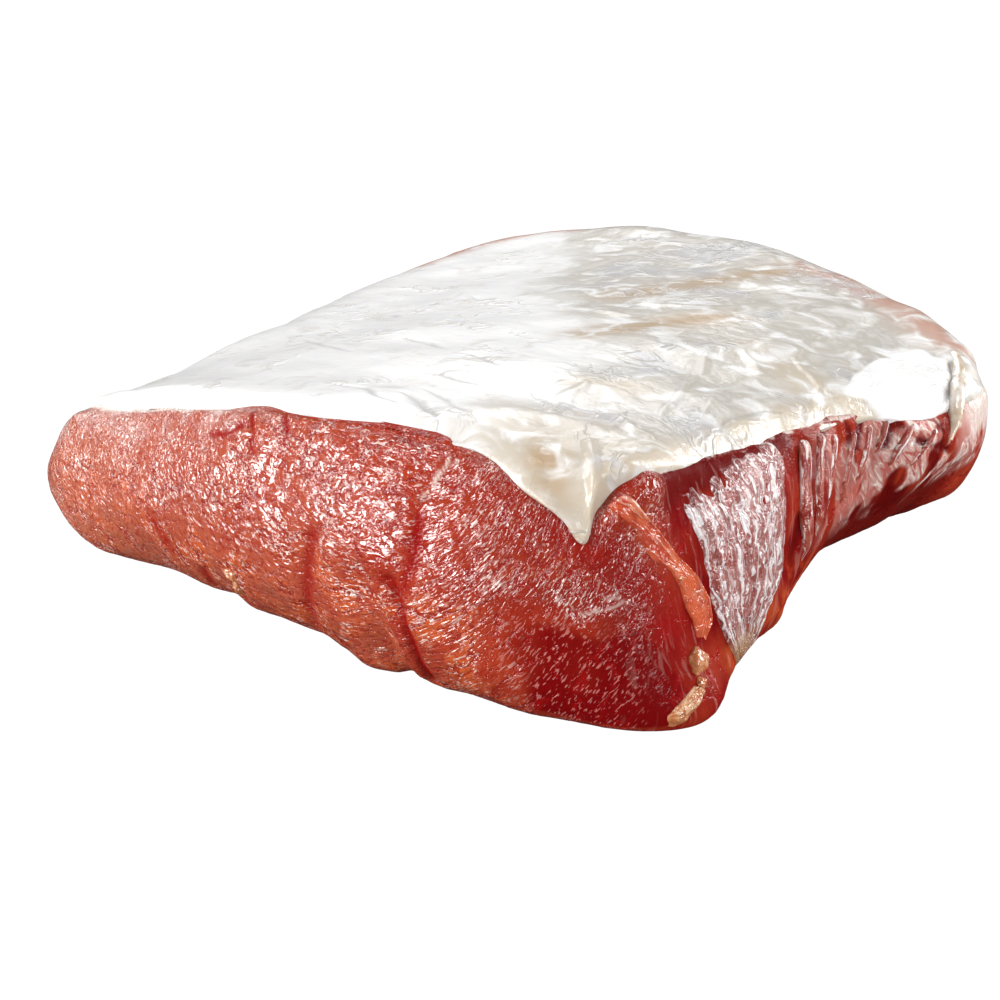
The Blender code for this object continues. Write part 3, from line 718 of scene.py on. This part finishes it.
fatValues = {
    "hem": 9.0,  # how far in from its edge the fat reaches its full thickness, mm
    "sunk": 3.0,  # how far the hem goes down at its edge, into the lean, mm
    "pulled": 12.0,  # how far in from the hem the pulls reach, mm
    "folds": (17.0, 0.35),  # size across and height, mm
    "ripples": ((16.0, 7.0, 12.0), 0.2),
    "lump": ((8, 142), (13, 34), 1.8),  # trimmed lump: x and y of its middle, half sizes and height, mm
    "corner": (((-216, 1, 44), (-203, -6, 53)), 8),  # where the hem shows its thickness: path and half width, mm
    "hollow": (((-40, -2, 75), (-36, -6, 73.5)), 4.2),  # at the root of the tongue
    "spine": (((-31, 5, 76), (-26, -2, 75), (-23, -6, 71)), 1.8),
    "tongue": (((-38, -8, 73), (-30, -10, 68), (-23, -12, 58)), 6.0),
    # Where the chalk white ends and the pearly fat starts: y and x.
    "whiteEdge": ((0, -58), (31, -55), (54, -56), (93, -81), (144, -129), (220, -175), (290, -200)),
    "stains": (  # mask, path, half width in mm, how strong
        ("cream", ((-24, -13, 60), (-22, -12, 56)), 5, 1.0),
        ("cream", ((-36, 120, 65), (-14, 108, 64), (-5, 95, 62)), 9, 1.0),
        ("cream", ((-58, 48, 72), (-46, 56, 71)), 7, 1.0),
        ("tan", ((-88, 100, 67), (-62, 146, 65)), 8, 1.0),
        ("tan", ((-107, 160, 61), (-70, 228, 60)), 9, 1.0),
        ("blush", ((-66, 240, 58), (-40, 222, 58), (-16, 203, 57), (8, 186, 55)), 10, 0.7),
        ("blush", ((-233, 205, 36), (-228, 240, 37), (-208, 267, 41), (-190, 272, 44)), 7, 1.0),
        ("moist", ((-70, 10, 75), (-45, 12, 75)), 14, 0.6),
    ),
    # The grey of the sunk lines is painted shade in the creases; the last column gives how much.
    "lines": (  # path, half width, rise in mm, how grey it looks
        (((-45, 19, 75), (-36, 29, 73), (-25, 21, 73), (-20, 19, 73)), 2.2, 1.3, 0.0),
        (((-38, 117, 66), (-28, 104, 66), (-20, 100, 65)), 1.3, 0.7, 0.0),
        (((-29, 80, 67), (-20, 55, 69)), 1.2, 0.6, 0.0),
        (((-40, 84, 67), (-32, 57, 70), (-28, 40, 71)), 1.3, 0.6, 0.0),
        (((-45, 103, 68), (-38, 87, 67)), 1.2, 0.6, 0.0),
        (((-94, 151, 62), (-80, 151, 64)), 2.4, 0.8, 0.0),
        (((-101, 132, 63), (-88, 132, 64)), 2.0, 0.6, 0.0),
        (((-25, 125, 64), (-6, 106, 62), (-4, 86, 62)), 1.3, 0.5, 0.0),
        (((-58, 48, 71), (-54, 30, 74), (-50, 18, 75)), 3.0, 0.7, 0.0),
        (((-186, 119, 47), (-170, 110, 52), (-154, 102, 56)), 0.9, -0.4, 0.7),
        (((-184, 72, 54), (-165, 60, 60), (-145, 50, 64)), 0.9, -0.4, 0.7),
        (((-141, 73, 64), (-129, 67, 66), (-117, 63, 68)), 1.1, -0.5, 0.9),
        (((-131, 67, 66), (-113, 60, 69)), 0.8, -0.4, 0.6),
        (((-104, 32, 72), (-93, 31, 73), (-82, 29, 74)), 1.3, -0.6, 1.0),
        (((-121, 10, 72), (-108, 7, 74), (-90, 1, 76)), 1.2, -0.5, 0.9),
        (((-96, 11, 74), (-86, 5, 75), (-74, -4, 77)), 1.4, -0.6, 1.0),
        (((-92, 18, 74), (-78, 8, 75), (-66, 1, 76)), 1.1, -0.5, 0.8),
        (((-106, 57, 70), (-97, 53, 71), (-87, 48, 72)), 1.0, -0.4, 0.8),
        (((-9, 78, 64), (-13, 62, 66), (-13, 47, 67)), 1.2, -0.5, 0.8),
        (((12, 170, 56), (18, 158, 56), (20, 142, 55)), 2.4, -2.0, 1.0),
    ),
    "bulges": (  # path, half width and rise in mm: where the outline is fuller
        (((-212, 72, 47), (-219, 114, 43), (-230, 166, 38), (-230, 230, 37), (-207, 267, 41), (-166, 276, 48)),
         26, 2.2),
        (((-11, 211, 54), (9, 189, 53)), 13, 2.6),
        (((-203, 6, 55), (-206, 36, 51)), 13, -1.3),
        (((-212, -2, 48), (-203, -5, 53)), 7, 2.4),
    ),
    "pulls": (  # places on the hem and how far each is pulled, mm: the tongue over the heel and its notch
        ((-55.6, -12.2, 74.8), (0, 0, 1.5)),
        ((-49.7, -12.3, 74.0), (0.3, -0.6, 0.5)),
        ((-42.3, -12.0, 72.5), (2.3, -4.0, -1.8)),
        ((-35.4, -11.2, 71.2), (4.2, -6.2, -3.2)),
        ((-28.7, -10.3, 69.1), (5.6, -5.2, -6.6)),
        ((-25.5, -9.8, 67.8), (5.2, -4.8, -11.6)),
        ((-22.4, -8.9, 66.8), (2.6, -2.8, -6.6)),
        ((-20.2, -7.5, 66.9), (-0.9, 0.2, 1.8)),
        ((-18.9, -6.3, 67.2), (-1.9, 0.6, 4.8)),
        ((-16.5, -3.0, 68.4), (-0.6, 1.0, 4.6)),
        ((-14.5, 1.9, 69.2), (-0.3, 0.4, 3.6)),
        ((-12.7, 10.8, 69.5), (-0.2, 0, 2.6)),
        ((-11.4, 22.8, 68.2), (0, 0, 0.6)),
    ),
}


def lumpGap(spots, wider, wobble):  # from the middle of the trimmed lump, 1 at its edge
    middle, halfSizes, _ = fatValues["lump"]
    gap = np.linalg.norm((spots[:, :2] - middle) / (np.array(halfSizes) + wider), axis=1)
    return gap + wobble * noise(spots, 8.0, 76)


print("fat cap: copied from the frame, wrinkled and folded")
applyModifier(fat, "SUBSURF", levels=2, render_levels=2, use_limit_surface=False)
editPiece(fat)
selectFaces(fat, lambda middle, normal: normal.z < -0.3)
bpy.ops.mesh.select_less()
bpy.ops.mesh.select_less()
bpy.ops.transform.translate(value=(0, 0, -0.0012))  # or flat parts of the underside come up through the top
bpy.ops.mesh.dissolve_limited(angle_limit=math.radians(4))
selectFaces(fat, lambda middle, normal: normal.z > -0.3)
bpy.ops.mesh.subdivide(number_cuts=1, smoothness=0.0)
leaveEdit()

places, normals = readPoints(fat), readPoints(fat, "normal")
fromHem = hemDistance(places)
spots = toHeel(places)
x, y, z = spots.T
upper = fade(normals[:, 2], -0.1, 0.4)
relief = noise(spots, fatValues["folds"][0], 51) * fatValues["folds"][1]
turned = np.stack([x * 0.93 - y * 0.37, x * 0.37 + y * 0.93, z], 1)
relief += layered(turned, fatValues["ripples"][0], 53, 3) * fatValues["ripples"][1]
# Painted shade: grey laid along the sunk creases.
creaseShade = np.zeros(len(spots))
sway = np.stack([noise(spots, 9.0, 73), noise(spots, 9.0, 74), 0 * fromHem], 1) * 1.6
flatter = (1, 1, 0.2)  # the lines are drawn from above, so height counts for little
for path, width, rise, tone in fatValues["lines"]:
    gap, along = pathDistance((spots + sway) * flatter, np.asarray(path) * flatter)
    width = width * (0.35 + 0.75 * np.sin(math.pi * along)) * (1 + 0.4 * noise(spots, 7.0, 75))
    here = np.exp(-((gap / width) ** 2))
    relief += here * rise
    creaseShade = np.maximum(creaseShade, here * tone)
for path, width, rise in fatValues["bulges"]:
    relief += stroke(spots, path, width) * rise
relief += fatValues["lump"][2] * fade(lumpGap(spots, 0, 0.25), 1.0, 0.8)
places += normals * (relief * upper / 1000)[:, None]

corner = stroke(spots, *fatValues["corner"])
places[:, 2] -= fatValues["sunk"] / 1000 * (1 - fade(fromHem, 0, fatValues["hem"])) * (1 - 0.85 * corner)
hemPath, hemShift = np.array(fatValues["pulls"]).transpose(1, 0, 2)
gap, along = pathDistance(spots, hemPath)
near = np.flatnonzero(gap < fatValues["pulled"])
shares = np.linspace(0, len(hemPath) - 1, 73)
samples, shifts = [np.stack([np.interp(shares, range(len(hemPath)), rows[:, k]) for k in range(3)], 1)
                   for rows in (hemPath, hemShift)]
far = np.linalg.norm(spots[near][:, None] - samples[None], axis=2)
weights = np.exp(-(far**2 - gap[near][:, None] ** 2) / (1.5 + 0.5 * gap[near][:, None]) ** 2)
pull = (weights @ shifts) / weights.sum(1)[:, None]
places[near] += pull * (1 - fade(gap[near], 0, fatValues["pulled"]))[:, None] / 1000
hollow, spine, tongue = [stroke(spots, *fatValues[name]) for name in ("hollow", "spine", "tongue")]
shreds = layered(spots, (7.0, 7.0, 2.6), 78, 2)
places += (1.6 * spine - 1.3 * hollow + (0.5 + 0.9 * shreds) * tongue)[:, None] * normals / 1000
writePoints(fat, places)

spots = toHeel(places)
x, y, z = spots.T
whiteEdge = np.interp(y, *np.transpose(fatValues["whiteEdge"]))
backEdge = fade(x - 0.12 * y, -26, -14) * fade(y, 125, 105)  # over the chine side
fatMasks = {
    "pearl": fade(x + 14 * layered(spots, 26.0, 61), whiteEdge - 16, whiteEdge + 20),
    "cream": 0.6 * np.minimum(fade(y, 26, 8), fade(x, -80, -50)) + backEdge,
    "tan": 1.1 * hollow + 0.6 * tongue * fade(shreds, 0.0, 0.45),
    # The tan in the hollow at the root of the tongue is painted shade; on the tongue's shreds and in the stains
    # it is the fat's own tan.
    "blush": 0 * x,
    "creaseShade": creaseShade,
    "moist": fade(fromHem, 26, 6) * fade(x, -70, -40),
    "chalk": fade(lumpGap(spots, 1, 0.3), 1.02, 0.9),
}
for name, path, width, strength in fatValues["stains"]:
    fatMasks[name] = fatMasks[name] + strength * stroke(spots, path, width)
for name, shares in fatMasks.items():
    storeMask(fat, name, shares)

fanValues = {
    "left": (  # its edges from the top down, mm
        (-11, 12, 64), (-8, 16, 55), (-4, 19, 44), (-2, 19, 35), (1, 21, 24), (3, 28, 11), (4, 32, 4)),
    "right": (
        (-4, 64, 63), (-1, 65, 55), (2, 61, 49), (4, 58, 38), (5, 56, 25), (5, 47, 16), (4, 40, 4)),
    "cell": 0.5, "thickness": 1.0, "stands": 0.7, "strands": 0.9, "bumps": 0.6,  # mm
    "sides": ((0.07, 0.0, 2.4), (0.96, 1.0, 2.2)),  # share of the width: start, full; then how deep it sinks, mm
    "ends": ((0.88, 1.0, 1.4), (0.05, 0.0, 1.0)),
    # Silverskin is a tight collagen film: pearly strands that shine, with the red meat dim between them. Their
    # pale tops are partly painted shine.
    "look": {
        "strand": (2.0, 26.0), "mottle": 9.0, "tangle": 6.0,  # strand width and length, spots and wander, mm
        "flesh": "#9c4a42", "film": "#cba6a2", "crestAndShine": "#f8f1f2", "end": "#c2946a", "meat": "#741418",
        "root": (0.08, 0.26), "rootSlant": 0.26, "ends": (0.72, 0.95),  # shares of the length
        "white": (0.48, 0.62), "shine": 0.9, "between": 0.75, "lip": 0.0, "bump": 0.0016},
}


def fanRise(across, down, spots):
    strands = layered(np.stack([across * 46 + 3 * noise(spots, 9.0, 79), down * 11, 0 * down], 1), 4.2, 81, 3)
    rise = fanValues["stands"] + fanValues["strands"] * strands + fanValues["bumps"] * layered(spots, 5.0, 84)
    slantedTop = 1.4 * fade(down + 0.2 * across, 0.2, 0.03)
    return rise - sinking(across, fanValues["sides"]) - sinking(down, fanValues["ends"]) - slantedTop


print("silverskin fan on the chine side")
fan = layTissue("silverskin_fan", (fanValues["left"], fanValues["right"]), fanValues, fanRise, smoothLean)

strapValues = {
    "paths": (  # path down the side, width and height, mm
        (((-2, 80, 62), (1, 77, 55), (3, 74, 46), (5, 72, 38), (6, 73, 26), (6, 72, 16)), 4.6, 1.0),
        (((0, 88, 60), (4, 81, 54), (7, 77, 45), (8, 76, 34), (7, 78, 24)), 3.6, 1.3),
        (((3, 96, 58), (5, 92, 49), (6, 88, 42), (8, 86, 34), (8, 86, 26)), 4.0, 0.9),
        (((5, 104, 56), (7, 99, 48), (8, 96, 38), (9, 94, 28)), 2.6, 1.2),
        (((7, 112, 55), (8, 109, 48), (9, 105, 41), (9, 102, 34)), 3.0, 1.0),
        (((11, 117, 54), (11, 115, 48), (10, 112, 42)), 2.4, 0.8),
        (((16, 125, 51), (15, 119, 44), (13, 116, 37)), 3.6, 0.9),
        (((20, 133, 48), (20, 126, 42), (18, 121, 35)), 2.4, 0.9),
    ),
    "sideways": (0.25, 1, 0), "cell": 0.45, "thickness": 0.8, "bumps": 0.3,
    "ends": ((0.75, 1.0, 1.6), (0.19, 0.02, 3.4)),
    # Narrow strips of silverskin, redder than the fan and with bright ridges, partly painted shine.
    "look": {
        "strand": (1.5, 16.0), "mottle": 6.0, "tangle": 2.0,
        "flesh": "#981e10", "film": "#cf8a7a", "crestAndShine": "#f8ece8", "end": "#b8593c", "meat": "#9c2014",
        "root": (0.0, 0.02), "rootSlant": 0.0, "ends": (0.6, 1.0),
        "white": (0.5, 0.6), "shine": 0.95, "between": 0.7, "lip": 0.8, "bump": 0.0012},
}


def strapRise(across, down, spots, top, seed):
    rise = rounded(across, top) + strapValues["bumps"] * noise(spots, 5.0, seed)
    return rise - sinking(down, strapValues["ends"])


print("straps beside the fan")
straps = []
for number, (path, width, top) in enumerate(strapValues["paths"]):
    straps.append(layTissue(
        "strap", widened(path, width, strapValues["sideways"]), strapValues,
        lambda across, down, spots: strapRise(across, down, spots, top, 90 + number), smoothLean))
straps = joinPieces("silverskin_straps", straps)

bandValues = {
    "left": (
        (-20.5, -8, 65.5), (-18, -4, 62), (-13, -2, 57), (-11, -1, 52), (-8, 1, 48), (-5.5, 6.5, 43.5),
        (-4, 9, 38), (-3, 10, 32), (-1, 12, 27), (0, 12, 21)),
    "right": (
        (-15.5, -2.5, 68), (-13.5, 0, 64), (-11, 3, 59), (-8.5, 6.5, 54), (-6, 10, 48), (-3.5, 14, 43),
        (-2, 17.5, 38), (0, 20.5, 31), (1, 20.5, 25), (2, 17, 20)),
    "cell": 0.5, "thickness": 0.9, "stands": 0.5, "sides": 1.1, "bumps": 0.35, "lip": 0.4,
    "ends": ((0.92, 1.0, 1.0), (0.06, 0.0, 0.9)),
    # Connective tissue soaked by the meat is orange red and smooth, with a paler lip that is partly painted
    # shine.
    "look": {
        "strand": (2.2, 12.0), "mottle": 6.0, "tangle": 3.0,
        "flesh": "#b43a1c", "film": "#d8653c", "crestAndShine": "#f2c2aa", "end": "#cf5a30", "meat": "#9c2014",
        "root": (0.0, 0.02), "rootSlant": 0.0, "ends": (0.4, 0.7),
        "white": (0.5, 0.66), "shine": 0.4, "between": 0.4, "lip": 0.8, "bump": 0.0009},
}


def bandRise(across, down, spots):
    rise = bandValues["stands"] - bandValues["sides"] * (2 * across - 1) ** 8
    rise += bandValues["bumps"] * layered(spots, 5.0, 85)
    rise += bandValues["lip"] * np.exp(-(((across - 0.86) / 0.06) ** 2))
    return rise - sinking(down, bandValues["ends"])


print("connective band at the heel")
band = layTissue("connective_band", (bandValues["left"], bandValues["right"]), bandValues, bandRise, smoothLean)

stripValues = {
    "left": ((2, 5, 12), (3, -1, 11), (1, -6, 7.5), (1, -7, 4)),
    "right": ((6, 8, 10), (7, 2, 8), (6, -1, 6), (6, -1, 3.5)),
    "cell": 0.45, "thickness": 0.9, "top": 1.1, "sunk": 0.6, "bumps": 0.5,
    "ends": ((0.08, 0.0, 1.0), (0.8, 1.0, 1.2)),
    # Scraps of soft inner fat, tan and granular.
    "look": {
        "strand": (2.0, 3.0), "mottle": 3.0, "tangle": 2.0,
        "flesh": "#b4683a", "film": "#dca478", "crestAndShine": "#f2d2b0", "end": "#c4804c", "meat": "#9c2014",
        "root": (-2.0, -1.9), "rootSlant": 0.0, "ends": (0.6, 1.0),
        "white": (0.5, 0.66), "shine": 0.6, "between": 0.5, "lip": 0.0, "bump": 0.001},
}


def stripRise(across, down, spots):
    rise = rounded(across, stripValues["top"], stripValues["sunk"])
    rise += stripValues["bumps"] * noise(spots, 3.0, 87)
    return rise - sinking(down, stripValues["ends"])


print("strip of fat at the foot of the heel")
strip = layTissue("heel_strip", (stripValues["left"], stripValues["right"]), stripValues, stripRise, smoothLean)

nuggetValues = {
    "lumps": (  # place, size in mm and seed; they are of the strip's fat
        ((2, 9, 17), (7.6, 6.6, 4.4), 11),
        ((4, 7, 12), (4.0, 3.0, 2.2), 12),
        ((-5, 10, 40), (2.0, 2.4, 1.4), 13),
        ((-135, -24, 19), (5.0, 4.0, 3.4), 15),
        ((-134, -23, 14), (3.6, 5.0, 3.0), 16),
    ),
}

print("fat nuggets")
scraps = joinPieces("fat_nuggets", [
    addLump("lump", spot, size, seed, smoothLean) for spot, size, seed in nuggetValues["lumps"]])

rollValues = {
    "path": (
        (8, 184, 56), (13, 176, 56), (17, 168, 56), (20, 158, 55), (23, 150, 52), (25, 143, 46), (25, 140, 41)),
    "width": 6.0, "sideways": (1, 0.45, 0), "cell": 0.5, "thickness": 2.0,
    "top": 2.8, "sunk": 0.8, "lift": 3.0, "bumps": 0.2,
    "ends": ((0.14, 0.0, 4.0), (0.88, 1.0, 1.6)),
    # The same hard fat as the cap, rolled over and a little yellower.
    "look": {
        "strand": (3.0, 8.0), "mottle": 6.0, "tangle": 2.0,
        "flesh": "#d3bfa6", "film": "#ece4da", "crestAndShine": "#f7f2ec", "end": "#d9b9a0", "meat": "#d9b9a0",
        "root": (0.0, 0.02), "rootSlant": 0.0, "ends": (0.7, 1.0),
        "white": (0.5, 0.66), "shine": 0.5, "between": 0.3, "lip": 0.0, "bump": 0.0003},
}


def rollRise(across, down, spots):
    rise = rounded(across, rollValues["top"], rollValues["sunk"]) + rollValues["lift"] * fade(down, 0.95, 0.6)
    return rise + rollValues["bumps"] * noise(spots, 8.0, 88) - sinking(down, rollValues["ends"])


print("rolled fat at the far corner")
rollEdges = widened(rollValues["path"], rollValues["width"], rollValues["sideways"])
roll = layTissue("fat_roll", rollEdges, rollValues, rollRise, smoothLean)

print("finishes")
scrapFat = tissue("inner fat scraps", stripValues["look"])
finishPiece(lean, wetLeanBeef(), "lean")
finishPiece(fat, beefFat(), "fat_cap")
finishPiece(fan, tissue("silverskin, pulled into strands", fanValues["look"]))
finishPiece(straps, tissue("silverskin straps", strapValues["look"]))
finishPiece(band, tissue("connective band, soaked red", bandValues["look"]))
finishPiece(strip, scrapFat)
finishPiece(scraps, scrapFat)
finishPiece(roll, tissue("rolled back fat", rollValues["look"]))

studio = {
    "floorSize": 6.0,
    "sky": 0.3, "skyInGloss": 0.04,  # gloss sees the lamps and little else, as in a dark studio
    "bounce": 0.5, "bounceInGloss": 0.06, "glow": 1.05,  # the paper's grey for light, and its white to the eye
    "lamps": (  # name, place (m), width and height (m), power (W), aimed at
        ("window", (-0.62, 0.95, 0.75), (0.7, 0.7), 5.2, (0, 0, 0.04)),
        ("front", (-0.62, -0.98, 0.47), (0.46, 0.46), 9.6, (0, -0.1, 0.04)),
        ("low", (-0.62, -1.1, 0.16), (0.42, 0.26), 5.5, (0, -0.1, 0.03)),
        ("chine", (0.73, 0.91, 0.40), (0.55, 0.5), 11.0, (0.1, 0, 0.04)),
        ("side", (1.15, -0.42, 0.38), (0.45, 0.45), 8.0, (0.1, -0.05, 0.04)),
        ("tail", (-1.25, 0.0, 0.35), (0.4, 0.4), 2.6, (-0.1, -0.1, 0.04)),
        ("overhead", (0.0, 0.1, 1.2), (0.4, 0.4), 2.6, (0, 0, 0.04)),
    ),
}
print("studio")
world = bpy.data.worlds.new("studio")
bpy.context.scene.world = world
world.use_nodes = True
skyTree = world.node_tree
glossy = addNode(skyTree, "ShaderNodeLightPath", out="Is Glossy Ray")
strength = addNode(skyTree, "ShaderNodeMapRange", {0: glossy, 3: studio["sky"], 4: studio["skyInGloss"]})
skyTree.links.new(strength, skyTree.nodes["Background"].inputs[1])
skyTree.nodes["Background"].inputs[0].default_value = (1, 1, 1, 1)
bpy.ops.mesh.primitive_plane_add(size=studio["floorSize"], location=(0, 0, -0.0002))
floor = bpy.context.object
floor.name = "studio_floor"
floorLook, tree, _, _ = newMaterial("white studio paper")
glossy = addNode(tree, "ShaderNodeLightPath", out="Is Glossy Ray")
shade = addNode(tree, "ShaderNodeMapRange", {0: glossy, 3: studio["bounce"], 4: studio["bounceInGloss"]})
paperGrey = addNode(tree, "ShaderNodeCombineColor", {0: shade, 1: shade, 2: shade})
paper = addNode(tree, "ShaderNodeBsdfDiffuse", {"Color": paperGrey})
glow = addNode(tree, "ShaderNodeEmission", {"Color": (1, 1, 1, 1), "Strength": studio["glow"]})
seen = addNode(tree, "ShaderNodeLightPath", out="Is Camera Ray")
both = addNode(tree, "ShaderNodeMixShader", {0: seen, 1: paper, 2: glow})
addNode(tree, "ShaderNodeOutputMaterial", {"Surface": both}, out=None)
floor.data.materials.append(floorLook)

for name, place, size, power, target in studio["lamps"]:
    bpy.ops.object.light_add(type="AREA", location=place)
    lamp = bpy.context.object
    lamp.name = name
    lamp.data.shape = "RECTANGLE"
    lamp.data.size, lamp.data.size_y = size
    lamp.data.energy = power
    lamp.rotation_euler = (Vector(target) - Vector(place)).to_track_quat("-Z", "Y").to_euler()

cameraPlace = fromHeel((165.75, -340.98, 243.75))
bpy.ops.object.camera_add(location=cameraPlace, rotation=(math.radians(65), 0, math.radians(33)))
camera = bpy.context.object
camera.data.sensor_width = 36
camera.data.angle = math.radians(34)
camera.data.clip_start = 0.01
bpy.context.scene.camera = camera
bpy.context.scene.view_settings.view_transform = "Standard"

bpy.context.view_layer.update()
for piece in (lean, fat, fan, straps, band, strip, scraps, roll):
    print(piece.name, sum(len(polygon.vertices) - 2 for polygon in piece.data.polygons), "triangles")
